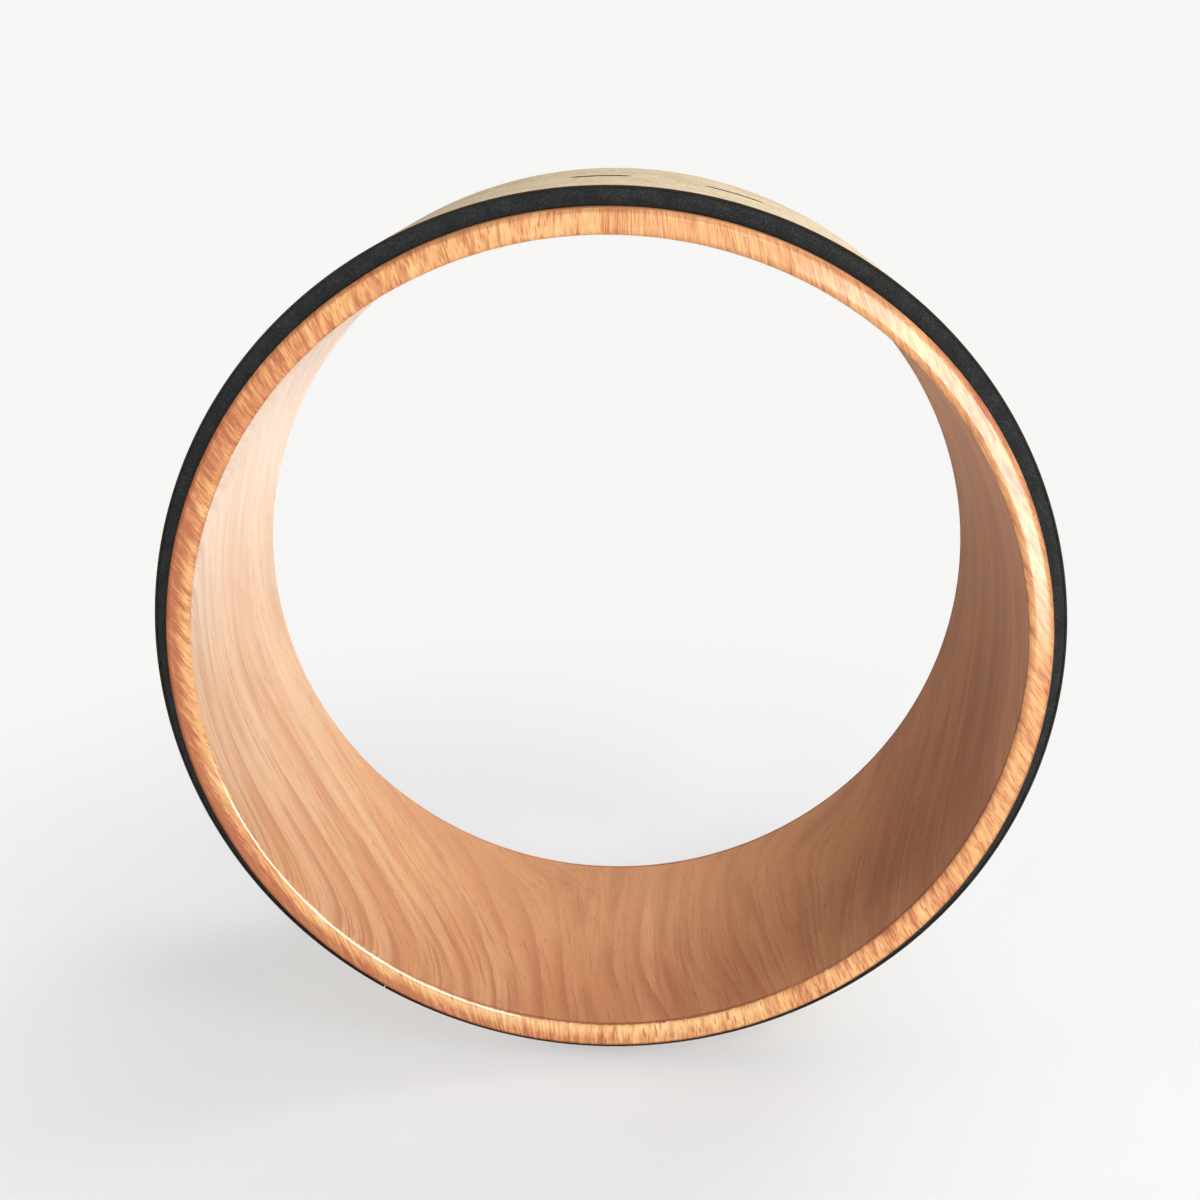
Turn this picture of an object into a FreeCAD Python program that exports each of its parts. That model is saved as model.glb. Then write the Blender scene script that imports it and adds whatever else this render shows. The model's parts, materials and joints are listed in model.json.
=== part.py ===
# Yoga wheel: a moulded plastic hoop with a foam and cork tread bonded round it.
# The origin is the wheel's centre. Its axis lies along Y, its front faces -Y and +Z is up.
import FreeCAD, Part
import os
import Sketcher

# Driving dimensions, in millimetres and degrees. Angles start at the top and run towards +X.
DIMENSIONS = [
    ("hoop_diameter", "307", "outside of the bare hoop"),
    ("hoop_wall", "8.5", "thickness of the hoop's wall"),
    ("hoop_width", "130", "length of the hoop along its axis"),
    ("inner_lip_round", "2.5", "rounding of the two inside lips"),
    ("outer_lip_chamfer", "2", "chamfer of the two outside lips"),
    ("tread_margin", "10", "bare hoop left at each end of the tread"),
    ("film_clearance", "0.1", "room between the hoop and its adhesive film"),
    ("hoop_film", "0.2", "adhesive between the hoop and the foam"),
    ("foam_thickness", "5.5", "foam strip"),
    ("cover_film", "0.2", "adhesive between the foam and the cork"),
    ("cork_thickness", "0.5", "cork strip"),
    ("seam_gap", "0.4", "opening between the butted ends of the strips, at the tread"),
    ("seam_angle", "212", "where the strips start"),
    ("dash_length", "22", "length of a dash along the tread"),
    ("dash_width", "8", "width of a dash along the axis"),
    ("dash_depth", "0.2", "depth of the pressed recess of a dash"),
    ("dash_ink", "0.1", "ink on the floor of the recess"),
    ("dash_spacing", "48", "from one dash to the next along the tread"),
    ("dash_lead", "4", "from the first dash back to the top, along the tread"),
    ("cut_overrun", "2", "how far a cut starts outside the surface"),
]
DASH_COUNT = 2

# Sizes worked out from the driving dimensions, as expressions on the sheet.
HOOP_RADIUS = "dims.hoop_diameter / 2"
HOOP_FILM_BASE = HOOP_RADIUS + " + dims.film_clearance"
FOAM_BASE = HOOP_FILM_BASE + " + dims.hoop_film"
COVER_FILM_BASE = FOAM_BASE + " + dims.foam_thickness"
CORK_BASE = COVER_FILM_BASE + " + dims.cover_film"
TREAD_RADIUS = CORK_BASE + " + dims.cork_thickness"
TREAD_WIDTH = "dims.hoop_width - 2 * dims.tread_margin"
DASH_FLOOR = TREAD_RADIUS + " - dims.dash_depth"
START = "dims.seam_angle"


def turn_of(tread_length):
    """Degrees that a length along the tread takes up."""
    return f"({tread_length}) / ({TREAD_RADIUS}) * 180 / pi"


STRIP_TURN = "360 - " + turn_of("dims.seam_gap")
DASH_TURN = turn_of("dims.dash_length")
FIRST_DASH = "-" + turn_of("dims.dash_lead")
DASH_PITCH = turn_of("dims.dash_spacing")

doc = FreeCAD.newDocument("yoga_wheel")
sheet = doc.addObject("Spreadsheet::Sheet", "dims")
for row, (alias, value, meaning) in enumerate(DIMENSIONS, start=1):
    sheet.set(f"A{row}", meaning)
    sheet.set(f"B{row}", value)
    sheet.setAlias(f"B{row}", alias)
doc.recompute()


def new_body(label):
    """An empty body with the label that names its file."""
    body = doc.addObject("PartDesign::Body", label)
    body.Label = label
    return body


def ring_section(body, name, base, thickness, width, angle):
    """A rectangle in the half plane through the axis at an angle from the top, centred along the axis."""
    plane = next(item for item in body.Origin.OriginFeatures if item.Role == "YZ_Plane")
    sketch = body.newObject("Sketcher::SketchObject", name)
    sketch.AttachmentSupport = [(plane, "")]
    sketch.MapMode = "FlatFace"
    along_axis = FreeCAD.Vector(1, 0, 0)
    sketch.AttachmentOffset = FreeCAD.Placement(FreeCAD.Vector(), FreeCAD.Rotation(along_axis, 0))
    sketch.setExpression("AttachmentOffset.Rotation.Angle", angle)

    # The corners start roughly in place, and the named constraints then set them.
    near = sheet.hoop_diameter / 2
    far = near + sheet.hoop_wall
    side = sheet.hoop_width / 2
    corners = [
        FreeCAD.Vector(-side, near, 0),
        FreeCAD.Vector(side, near, 0),
        FreeCAD.Vector(side, far, 0),
        FreeCAD.Vector(-side, far, 0),
    ]
    edge_count = len(corners)
    for start in range(edge_count):
        end = (start + 1) % edge_count
        sketch.addGeometry(Part.LineSegment(corners[start], corners[end]))
    for edge in range(edge_count):
        sketch.addConstraint(Sketcher.Constraint("Coincident", edge, 2, (edge + 1) % edge_count, 1))
    bottom, right, top, left = range(edge_count)
    sketch.addConstraint(Sketcher.Constraint("Horizontal", top))
    sketch.addConstraint(Sketcher.Constraint("Vertical", right))
    sketch.addConstraint(Sketcher.Constraint("Vertical", left))
    sketch.addConstraint(Sketcher.Constraint("Symmetric", bottom, 1, bottom, 2, -2))
    sizes = {
        "base": (Sketcher.Constraint("DistanceY", -1, 1, bottom, 1, near), base),
        "thickness": (Sketcher.Constraint("DistanceY", right, 1, right, 2, far - near), thickness),
        "width": (Sketcher.Constraint("DistanceX", bottom, 1, bottom, 2, 2 * side), width),
    }
    for size_name, (constraint, expression) in sizes.items():
        index = sketch.addConstraint(constraint)
        sketch.renameConstraint(index, size_name)
        sketch.setExpression("Constraints." + size_name, expression)
    return sketch


def revolved(body, kind, name, sketch, turn, about_middle):
    """A revolve of a section about the wheel's axis, added or cut as its kind says."""
    feature = body.newObject(kind, name)
    feature.Profile = sketch
    feature.ReferenceAxis = (sketch, ["H_Axis"])
    feature.Midplane = about_middle
    feature.setExpression("Angle", turn)
    doc.recompute()
    return feature


def lip_edges(feature, lip_radius):
    """Names of a hoop feature's circular edges that have one radius, one at each end."""
    tolerance = Part.Precision.confusion()
    return [
        f"Edge{number}"
        for number, edge in enumerate(feature.Shape.Edges, start=1)
        if isinstance(edge.Curve, Part.Circle) and abs(edge.Curve.Radius - lip_radius) < tolerance
    ]


def eased_lips(body, kind, name, base, lip_radius, size_name, size):
    """A fillet or a chamfer on the lips of one radius at both ends of the hoop."""
    feature = body.newObject(kind, name)
    feature.Base = (base, lip_edges(base, lip_radius))
    feature.setExpression(size_name, size)
    doc.recompute()
    return feature


def repeated_dashes(body, name, dash):
    """The dash of a body, repeated round the wheel's axis."""
    axis = next(item for item in body.Origin.OriginFeatures if item.Role == "Y_Axis")
    pattern = body.newObject("PartDesign::PolarPattern", name)
    pattern.Originals = [dash]
    pattern.Axis = (axis, [""])
    pattern.Occurrences = DASH_COUNT
    pattern.setExpression("Angle", DASH_PITCH)
    body.Tip = pattern
    doc.recompute()
    return pattern


def make_hoop():
    """A pipe section with rounded inside lips and chamfered outside lips."""
    body = new_body("hoop")
    inner_radius = HOOP_RADIUS + " - dims.hoop_wall"
    section = ring_section(body, "hoop_section", inner_radius, "dims.hoop_wall", "dims.hoop_width", START)
    pipe = revolved(body, "PartDesign::Revolution", "hoop_pipe", section, "360", False)
    outside = sheet.hoop_diameter / 2
    inside = outside - sheet.hoop_wall
    rounded = eased_lips(
        body, "PartDesign::Fillet", "inner_lips", pipe, inside, "Radius", "dims.inner_lip_round"
    )
    eased_lips(
        body, "PartDesign::Chamfer", "outer_lips", rounded, outside, "Size", "dims.outer_lip_chamfer"
    )
    return body


def make_strip(label, base, thickness):
    """A flat strip wrapped round the hoop, with its two ends butted at the seam."""
    body = new_body(label)
    section = ring_section(body, label + "_section", base, thickness, TREAD_WIDTH, START)
    revolved(body, "PartDesign::Revolution", label + "_wrap", section, STRIP_TURN, False)
    return body


def make_cork_cover():
    """The outer strip, with the recesses of the dashes pressed into its tread."""
    body = make_strip("cork_cover", CORK_BASE, "dims.cork_thickness")
    whole_volume = body.Shape.Volume
    depth = "dims.dash_depth + dims.cut_overrun"
    section = ring_section(body, "recess_section", DASH_FLOOR, depth, "dims.dash_width", FIRST_DASH)
    recess = revolved(body, "PartDesign::Groove", "dash_recess", section, DASH_TURN, True)
    one_recess = whole_volume - body.Shape.Volume
    repeated_dashes(body, "dash_recesses", recess)
    all_recesses = whole_volume - body.Shape.Volume
    if one_recess <= 0 or round(all_recesses / one_recess) != DASH_COUNT:
        raise RuntimeError("a dash recess does not cut the cork")
    return body


def make_tread_dashes():
    """The ink on the floor of each recess."""
    body = new_body("tread_dashes")
    body.AllowCompound = True
    section = ring_section(body, "ink_section", DASH_FLOOR, "dims.dash_ink", "dims.dash_width", FIRST_DASH)
    ink = revolved(body, "PartDesign::Revolution", "ink_dash", section, DASH_TURN, True)
    repeated_dashes(body, "ink_dashes", ink)
    return body


sub_parts = [
    make_hoop(),
    make_strip("hoop_adhesive", HOOP_FILM_BASE, "dims.hoop_film"),
    make_strip("foam_pad", FOAM_BASE, "dims.foam_thickness"),
    make_strip("cover_adhesive", COVER_FILM_BASE, "dims.cover_film"),
    make_cork_cover(),
    make_tread_dashes(),
]

doc.recompute()
failed = [item.Label for item in doc.Objects if {"Invalid", "Error"} & set(item.State)]
failed += [part.Label for part in sub_parts if part.Shape.isNull() or not part.Shape.isValid()]
if failed:
    raise RuntimeError("failed: " + ", ".join(failed))

os.makedirs("parts", exist_ok=True)
for part in sub_parts:
    part.Shape.exportStep(os.path.join("parts", part.Label + ".step"))
    print(part.Label, len(part.Shape.Solids), "solids", round(part.Shape.Volume), "mm3")
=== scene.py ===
"""Yoga wheel at rest: a wood-grain hoop with a foam and cork tread bonded round it.

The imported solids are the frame. The hoop, the foam pad, the cork cover and the ink dashes are
modelled again with finer edges, and the two adhesive films keep their solids and get a finish.
Lengths are in metres unless a name says otherwise. The wheel's centre is the origin, its axis
lies along Y and its front faces -Y. Angles round the wheel start at the top and run towards +X.
They are in degrees unless a docstring says otherwise.
"""

import json
import logging
import math
from collections.abc import Callable, Iterable, Sequence
from dataclasses import dataclass, field
from enum import Enum

import bmesh
import bpy
from mathutils import Matrix, Quaternion, Vector, noise


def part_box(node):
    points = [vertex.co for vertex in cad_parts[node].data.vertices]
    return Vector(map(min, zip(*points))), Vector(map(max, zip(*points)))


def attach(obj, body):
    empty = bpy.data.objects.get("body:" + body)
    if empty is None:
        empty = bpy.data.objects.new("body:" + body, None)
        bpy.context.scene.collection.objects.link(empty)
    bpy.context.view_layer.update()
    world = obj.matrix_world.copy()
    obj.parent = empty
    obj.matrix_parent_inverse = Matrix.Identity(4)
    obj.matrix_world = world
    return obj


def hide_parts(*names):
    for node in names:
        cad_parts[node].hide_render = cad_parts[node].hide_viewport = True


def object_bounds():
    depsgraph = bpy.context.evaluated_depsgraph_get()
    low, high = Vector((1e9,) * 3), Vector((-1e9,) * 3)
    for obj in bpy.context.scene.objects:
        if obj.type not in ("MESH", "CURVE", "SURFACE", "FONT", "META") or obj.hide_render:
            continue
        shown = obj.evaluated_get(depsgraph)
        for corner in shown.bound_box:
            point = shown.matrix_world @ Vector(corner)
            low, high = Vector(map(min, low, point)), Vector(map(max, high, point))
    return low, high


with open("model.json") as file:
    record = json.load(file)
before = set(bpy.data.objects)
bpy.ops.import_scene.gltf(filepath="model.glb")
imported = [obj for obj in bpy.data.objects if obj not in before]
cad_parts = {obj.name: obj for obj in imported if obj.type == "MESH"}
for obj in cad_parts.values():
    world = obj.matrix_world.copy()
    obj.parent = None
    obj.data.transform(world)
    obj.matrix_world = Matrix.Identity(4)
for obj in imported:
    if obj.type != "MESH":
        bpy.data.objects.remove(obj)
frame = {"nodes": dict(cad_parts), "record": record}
cad_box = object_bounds()

LOG = logging.getLogger("yoga_wheel")
MM = 0.001
PER_MM = 1.0 / MM
SAME_RADIUS = 0.01 * MM
SAME_POINT = 0.001 * MM
FULL_TURN = 360.0
CENTRE = (0.0, 0.0, 0.0)
WHEEL_AXIS = (0.0, 1.0, 0.0)
UPWARDS = (0.0, 0.0, 1.0)
BODY = "root"
NO_GLOSS = 0.0
# Places of a Mix node's sockets when it mixes colours.
MIX_SHARE, MIX_UNDER, MIX_OVER, MIX_COLOUR = 0, 6, 7, 2

Place = tuple[float, float, float]
Colour = tuple[float, float, float]
Limits = tuple[float, float]
Stops = tuple[tuple[float, Colour], ...]
Plane = tuple[Vector, Vector]
Socket = bpy.types.NodeSocket
Operand = Socket | float
WHITE: Colour = (1.0, 1.0, 1.0)
COOL: Colour = (0.95, 0.98, 1.0)
BLUISH: Colour = (0.72, 0.86, 1.0)
GREENISH: Colour = (0.93, 1.0, 0.97)


class Slot(Enum):
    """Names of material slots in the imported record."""

    HOOP_PLASTIC = "hoop_plastic"
    FOAM = "foam"
    CORK = "cork"
    INK = "ink"


class Maths(Enum):
    """Operations of the Math node that the finishes use."""

    ADD = "ADD"
    SUBTRACT = "SUBTRACT"
    MULTIPLY = "MULTIPLY"
    POWER = "POWER"
    ABSOLUTE = "ABSOLUTE"
    ARCTAN2 = "ARCTAN2"
    PINGPONG = "PINGPONG"
    MAXIMUM = "MAXIMUM"
    FRACT = "FRACT"
    SIGN = "SIGN"
    COSINE = "COSINE"


class Blend(Enum):
    """Ways to lay one colour over another."""

    MIX = "MIX"
    MULTIPLY = "MULTIPLY"


class Cells(Enum):
    """What a cell pattern gives at a point."""

    NEAREST = "Distance"
    SHADE = "Color"


@dataclass(frozen=True)
class Streak:
    """Noise drawn out along the lines of a grain, with its weight among others."""

    length_mm: float
    width_mm: float
    weight: float
    detail: float = 2.0


def beyond(start: float, limits: Limits) -> Limits:
    """Count limits from a start."""
    return start + limits[0], start + limits[1]


class Graph:
    """Node tree of one material, with short calls for the nodes and measures that finishes use."""

    def __init__(self, name: str) -> None:
        """Start a material with a Principled shader.

        Args:
            name: Name of the material.
        """
        self.material = bpy.data.materials.new(name)
        self.material.use_nodes = True
        self.tree = self.material.node_tree
        self.shader = self.tree.nodes["Principled BSDF"]
        self.place_mm = self.scaled(self.node("ShaderNodeTexCoord").outputs["Object"], PER_MM)

    def node(self, kind: str) -> bpy.types.Node:
        """Add a node of a kind."""
        return self.tree.nodes.new(kind)

    def feed(self, entry: Socket, value: Operand | Sequence[float]) -> None:
        """Link a socket into an entry, or set the entry to a plain value.

        Args:
            entry: Input socket of a node.
            value: Socket to link, or the value to set.
        """
        if isinstance(value, bpy.types.NodeSocket):
            self.tree.links.new(value, entry)
        else:
            entry.default_value = value

    def set(self, **sockets: Operand | Sequence[float]) -> None:
        """Feed the shader's sockets, named in lower case with underscores for spaces.

        Args:
            sockets: Value or source socket of each.
        """
        by_name = {entry.name.lower().replace(" ", "_"): entry for entry in self.shader.inputs}
        for name, value in sockets.items():
            self.feed(by_name[name], value)

    def scaled(self, vector: Socket, factor: float) -> Socket:
        """Multiply a vector by one factor.

        Args:
            vector: The vector.
            factor: The factor.

        Returns:
            The longer or shorter vector.
        """
        scale = self.node("ShaderNodeVectorMath")
        scale.operation = "SCALE"
        self.feed(scale.inputs["Vector"], vector)
        self.feed(scale.inputs["Scale"], factor)
        return scale.outputs["Vector"]

    def parts(self, vector: Socket) -> tuple[Socket, Socket, Socket]:
        """Split a vector into its three parts.

        Args:
            vector: The vector, or a colour.

        Returns:
            Its parts along X, Y and Z.
        """
        split = self.node("ShaderNodeSeparateXYZ")
        self.feed(split.inputs["Vector"], vector)
        return split.outputs["X"], split.outputs["Y"], split.outputs["Z"]

    def maths(self, operation: Maths, first: Operand, second: Operand = 0.0) -> Socket:
        """Work out one operation.

        Args:
            operation: What to do.
            first: First operand.
            second: Second operand, where the operation has one.

        Returns:
            The result.
        """
        worked = self.node("ShaderNodeMath")
        worked.operation = operation.value
        self.feed(worked.inputs[0], first)
        self.feed(worked.inputs[1], second)
        return worked.outputs["Value"]

    def plus(self, first: Operand, second: Operand) -> Socket:
        """Add two values."""
        return self.maths(Maths.ADD, first, second)

    def minus(self, first: Operand, second: Operand) -> Socket:
        """Take the second value from the first."""
        return self.maths(Maths.SUBTRACT, first, second)

    def times(self, first: Operand, second: Operand) -> Socket:
        """Multiply two values."""
        return self.maths(Maths.MULTIPLY, first, second)

    def larger(self, first: Operand, second: Operand) -> Socket:
        """Take the larger of two values."""
        return self.maths(Maths.MAXIMUM, first, second)

    def power(self, value: Operand, exponent: Operand) -> Socket:
        """Raise a value to an exponent."""
        return self.maths(Maths.POWER, value, exponent)

    def hypotenuse(self, first: Socket, second: Socket) -> Socket:
        """Long side of a triangle whose two other sides stand at right angles."""
        square = self.plus(self.power(first, 2.0), self.power(second, 2.0))
        return self.power(square, 0.5)

    def off_middle(self) -> Socket:
        """Distance in millimetres from the wheel's middle plane."""
        return self.maths(Maths.ABSOLUTE, self.parts(self.place_mm)[1])

    def from_axis(self) -> Socket:
        """Distance in millimetres from the wheel's axis."""
        across, _, up = self.parts(self.place_mm)
        return self.hypotenuse(across, up)

    def turn(self) -> Socket:
        """Angle round the wheel, in radians."""
        across, _, up = self.parts(self.place_mm)
        return self.maths(Maths.ARCTAN2, across, up)

    def drift(self, peak_at: float) -> Socket:
        """A slow change round the wheel, from 1 at one angle to -1 opposite it."""
        return self.maths(Maths.COSINE, self.minus(self.turn(), math.radians(peak_at)))

    def weighed(self, *terms: tuple[Socket, float]) -> Socket:
        """Add up values about their middle of 0.5, each with its weight.

        Args:
            terms: Each value from 0 to 1, with its weight.

        Returns:
            The sum, about a middle of 0.5.
        """
        middle = 0.5
        total: Operand = middle
        for value, weight in terms:
            total = self.plus(self.times(self.minus(value, middle), weight), total)
        return total

    def grain(
        self, pitch_mm: float, across: Operand = 0.0, across_mm: float = 1.0, detail: float = 2.0
    ) -> Socket:
        """Noise over the object's own place, which can be much finer across one more direction.

        Args:
            pitch_mm: Size of its features.
            across: Place in millimetres along the further direction.
            across_mm: Size of its features along that direction.
            detail: Octaves of finer noise.

        Returns:
            A value from 0 to 1.
        """
        texture = self.node("ShaderNodeTexNoise")
        texture.noise_dimensions = "4D"
        self.feed(texture.inputs["Vector"], self.scaled(self.place_mm, 1.0 / pitch_mm))
        self.feed(texture.inputs["W"], self.times(across, 1.0 / across_mm))
        self.feed(texture.inputs["Scale"], 1.0)
        self.feed(texture.inputs["Detail"], detail)
        return texture.outputs["Fac"]

    def streak(self, line: Socket, streak: Streak) -> Socket:
        """Draw noise out along the lines of a grain."""
        return self.grain(streak.length_mm, line, streak.width_mm, streak.detail)

    def streaks(self, line: Socket, streaks: Iterable[Streak]) -> list[tuple[Socket, float]]:
        """Draw out several noises, each with its weight."""
        return [(self.streak(line, streak), streak.weight) for streak in streaks]

    def cells(self, pitch_mm: float, wanted: Cells) -> Socket:
        """Cells scattered over the object's own place.

        Args:
            pitch_mm: Size of a cell.
            wanted: What to give of each cell.

        Returns:
            The distance to the nearest cell's middle, or a colour of each cell.
        """
        texture = self.node("ShaderNodeTexVoronoi")
        self.feed(texture.inputs["Vector"], self.scaled(self.place_mm, 1.0 / pitch_mm))
        self.feed(texture.inputs["Scale"], 1.0)
        return texture.outputs[wanted.value]

    def eased(self, value: Operand, low: float, high: float) -> Socket:
        """Rise smoothly from 0 at a low value to 1 at a high one.

        Args:
            value: The value.
            low: Where the rise starts.
            high: Where it ends.

        Returns:
            A value from 0 to 1.
        """
        ranged = self.node("ShaderNodeMapRange")
        ranged.interpolation_type = "SMOOTHSTEP"
        self.feed(ranged.inputs["Value"], value)
        self.feed(ranged.inputs["From Min"], low)
        self.feed(ranged.inputs["From Max"], high)
        return ranged.outputs["Result"]

    def ranged(self, value: Operand, at_nought: float, at_one: float) -> Socket:
        """Turn a value from 0 to 1 into one between two limits.

        Args:
            value: The value.
            at_nought: What 0 becomes.
            at_one: What 1 becomes.

        Returns:
            The value between the limits.
        """
        ranged = self.node("ShaderNodeMapRange")
        self.feed(ranged.inputs["Value"], value)
        self.feed(ranged.inputs["To Min"], at_nought)
        self.feed(ranged.inputs["To Max"], at_one)
        return ranged.outputs["Result"]

    def faded(self, value: Operand, low: float, high: float) -> Socket:
        """Fall smoothly from 1 at a low value to 0 at a high one."""
        return self.ranged(self.eased(value, low, high), 1.0, 0.0)

    def ramp(self, value: Operand, stops: Stops) -> Socket:
        """Colour a value.

        Args:
            value: Value from 0 to 1.
            stops: Places on the ramp, each with its colour.

        Returns:
            The colour.
        """
        ramp = self.node("ShaderNodeValToRGB")
        elements = ramp.color_ramp.elements
        while len(elements) < len(stops):
            elements.new(1.0)
        for element, (position, colour) in zip(elements, stops):
            element.position = position
            element.color = (*colour, 1.0)
        self.feed(ramp.inputs["Fac"], value)
        return ramp.outputs["Color"]

    def laid(
        self,
        share: Operand,
        under: Socket | Colour,
        over: Socket | Colour,
        blend: Blend = Blend.MIX,
    ) -> Socket:
        """Lay one colour over another.

        Args:
            share: How much of the upper colour shows, from 0 to 1.
            under: Lower colour.
            over: Upper colour.
            blend: Way to lay it.

        Returns:
            The colour that results.
        """
        mix = self.node("ShaderNodeMix")
        mix.data_type = "RGBA"
        mix.blend_type = blend.value
        self.feed(mix.inputs[MIX_SHARE], share)
        for entry, colour in ((MIX_UNDER, under), (MIX_OVER, over)):
            linked_in = isinstance(colour, bpy.types.NodeSocket)
            self.feed(mix.inputs[entry], colour if linked_in else (*colour, 1.0))
        return mix.outputs[MIX_COLOUR]

    def emboss(self, height: Socket, depth_mm: float) -> None:
        """Raise the shader's surface by a height from 0 to 1.

        Args:
            height: The height.
            depth_mm: How far 1 stands above 0.
        """
        bump = self.node("ShaderNodeBump")
        self.feed(bump.inputs["Height"], height)
        self.feed(bump.inputs["Distance"], depth_mm * MM)
        self.set(normal=bump.outputs["Normal"])

    def matte(
        self, colour: Socket, roughness: Socket, relief: Socket, relief_mm: float
    ) -> bpy.types.Material:
        """Finish a material without gloss.

        Args:
            colour: Its colour.
            roughness: Its roughness.
            relief: Height of its surface, from 0 to 1.
            relief_mm: How far 1 stands above 0.

        Returns:
            The material.
        """
        self.set(base_color=colour, roughness=roughness, specular_ior_level=NO_GLOSS)
        self.emboss(relief, relief_mm)
        return self.material


@dataclass(frozen=True)
class Pores:
    """Short dark pores along the lines of a grain, where their streak passes its limits."""

    streak: Streak
    limits: Limits
    colour: Colour

    def over(self, graph: Graph, line: Socket, colour: Socket) -> Socket:
        """Lay the pores over a colour.

        Args:
            graph: Tree to add to.
            line: Place in millimetres across the lines of the grain.
            colour: The colour below.

        Returns:
            The colour with its pores.
        """
        dark = graph.eased(graph.streak(line, self.streak), *self.limits)
        return graph.laid(graph.times(dark, self.streak.weight), colour, self.colour)


@dataclass(frozen=True)
class BoreGrain:
    """Grain of the bore: two sets of nested arches, half a turn apart, on the front edge.

    Broad growth rings and fine lines follow the arches. They are clearest at the bottom and fade
    towards the back.
    """

    arch_angle: float = -104.0
    arch_mm: float = 167.0
    arch_straight_mm: Limits = (140.0, 226.0)
    wander_mm: float = 24.0
    wander_pitch_mm: float = 110.0
    jitter_mm: float = 1.2
    jitter_pitch_mm: float = 1.8
    bands: tuple[Streak, ...] = (
        Streak(170.0, 30.0, 0.9, 3.0),
        Streak(120.0, 9.0, 0.5, 1.0),
        Streak(40.0, 2.6, 0.35),
    )
    fibre: Streak = Streak(14.0, 0.6, 0.45)
    # Painted shade: the bore darkens towards this side, away from the light.
    dark_at: float = 105.0
    dark_share: float = 0.24
    rings: Streak = Streak(55.0, 10.5, 0.64)
    ring_spread: Streak = Streak(110.0, 52.5, 2.2, 0.0)
    ring_darkens: Limits = (0.30, 0.92)
    ring_ends: Limits = (0.92, 1.0)
    ring_strength: Limits = (0.38, 0.60)
    rings_left_behind: float = 0.55
    fine_lines: Streak = Streak(45.0, 1.25, 0.60, 1.0)
    fine_limits: Limits = (0.52, 0.70)
    fine_left_behind: float = 0.35
    fade_mm: Limits = (35.0, 115.0)
    clear_at: float = -165.0
    clear_limits: Limits = (-0.35, 0.45)
    clear_least: float = 0.25
    # Darker and redder near the front edge, low on the bore.
    front_darkening_mm: Limits = (0.0, 90.0)
    front_darkening_limits: Limits = (0.5, 0.95)
    front_darkening: Colour = (0.950, 0.830, 0.790)
    stops: Stops = (
        (0.26, (0.500, 0.235, 0.115)),
        (0.40, (0.570, 0.285, 0.141)),
        (0.52, (0.635, 0.322, 0.156)),
        (0.66, (0.662, 0.338, 0.167)),
        (0.74, (0.680, 0.372, 0.184)),
        (0.82, (0.700, 0.425, 0.222)),
        (0.94, (0.745, 0.465, 0.262)),
    )
    latewood: Colour = (0.470, 0.190, 0.102)
    pores: Pores = Pores(Streak(6.0, 0.42, 0.42, 1.0), (0.61, 0.74), (0.290, 0.110, 0.055))

    def figure(self, graph: Graph, hoop: "Hoop") -> tuple[Socket, Socket]:
        """Lay the figure of the bore.

        Args:
            graph: Tree to add to.
            hoop: The hoop that wears the print.

        Returns:
            The colour and the height of the fibres.
        """
        depth = graph.plus(graph.parts(graph.place_mm)[1], hoop.half_width * PER_MM)
        line = self.arch_line(graph, hoop, depth)
        fibre = graph.streak(line, self.fibre)
        tone = graph.weighed(
            *graph.streaks(line, self.bands),
            (fibre, self.fibre.weight),
            # painted shade, darker towards the side away from the light
            (graph.drift(self.dark_at), -self.dark_share),
        )
        low = graph.drift(self.clear_at)
        clear = graph.ranged(graph.eased(low, *self.clear_limits), self.clear_least, 1.0)
        dark = graph.times(self.dark_lines(graph, line, depth), clear)
        ringed = graph.laid(dark, graph.ramp(tone, self.stops), self.latewood)
        # Darker and redder near the front edge, low on the bore.
        near_front = graph.faded(depth, *self.front_darkening_mm)
        front_share = graph.times(near_front, graph.eased(low, *self.front_darkening_limits))
        front_darkened = graph.laid(front_share, ringed, self.front_darkening, Blend.MULTIPLY)
        return self.pores.over(graph, line, front_darkened), fibre

    def arch_line(self, graph: Graph, hoop: "Hoop", depth: Socket) -> Socket:
        """Number the lines of the grain across the nested half ellipses.

        Args:
            graph: Tree to add to.
            hoop: The hoop that wears the print.
            depth: Distance in millimetres behind the front edge.

        Returns:
            Place in millimetres across the lines, which runs on from one set to the other.
        """
        bore_mm = hoop.bore_radius * PER_MM
        quarter = math.pi / 2
        turned = graph.minus(graph.turn(), math.radians(self.arch_angle))
        off_arch = graph.maths(Maths.PINGPONG, turned, math.pi)
        side = graph.maths(Maths.SIGN, graph.minus(off_arch, quarter))
        arc = graph.times(graph.maths(Maths.PINGPONG, off_arch, quarter), bore_mm)
        straight = graph.eased(arc, *self.arch_straight_mm)
        crown = graph.ranged(straight, 2.0 * self.arch_mm, 0.0)
        squared = graph.power(arc, 2.0)
        root = graph.hypotenuse(squared, graph.times(depth, crown))
        arch = graph.power(graph.times(graph.plus(squared, root), 0.5), 0.5)
        onward = graph.times(side, graph.minus(quarter * bore_mm, arch))
        wander = graph.times(graph.grain(self.wander_pitch_mm, detail=0.0), self.wander_mm)
        jitter = graph.times(graph.grain(self.jitter_pitch_mm, detail=1.0), self.jitter_mm)
        return graph.plus(graph.plus(onward, wander), jitter)

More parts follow.
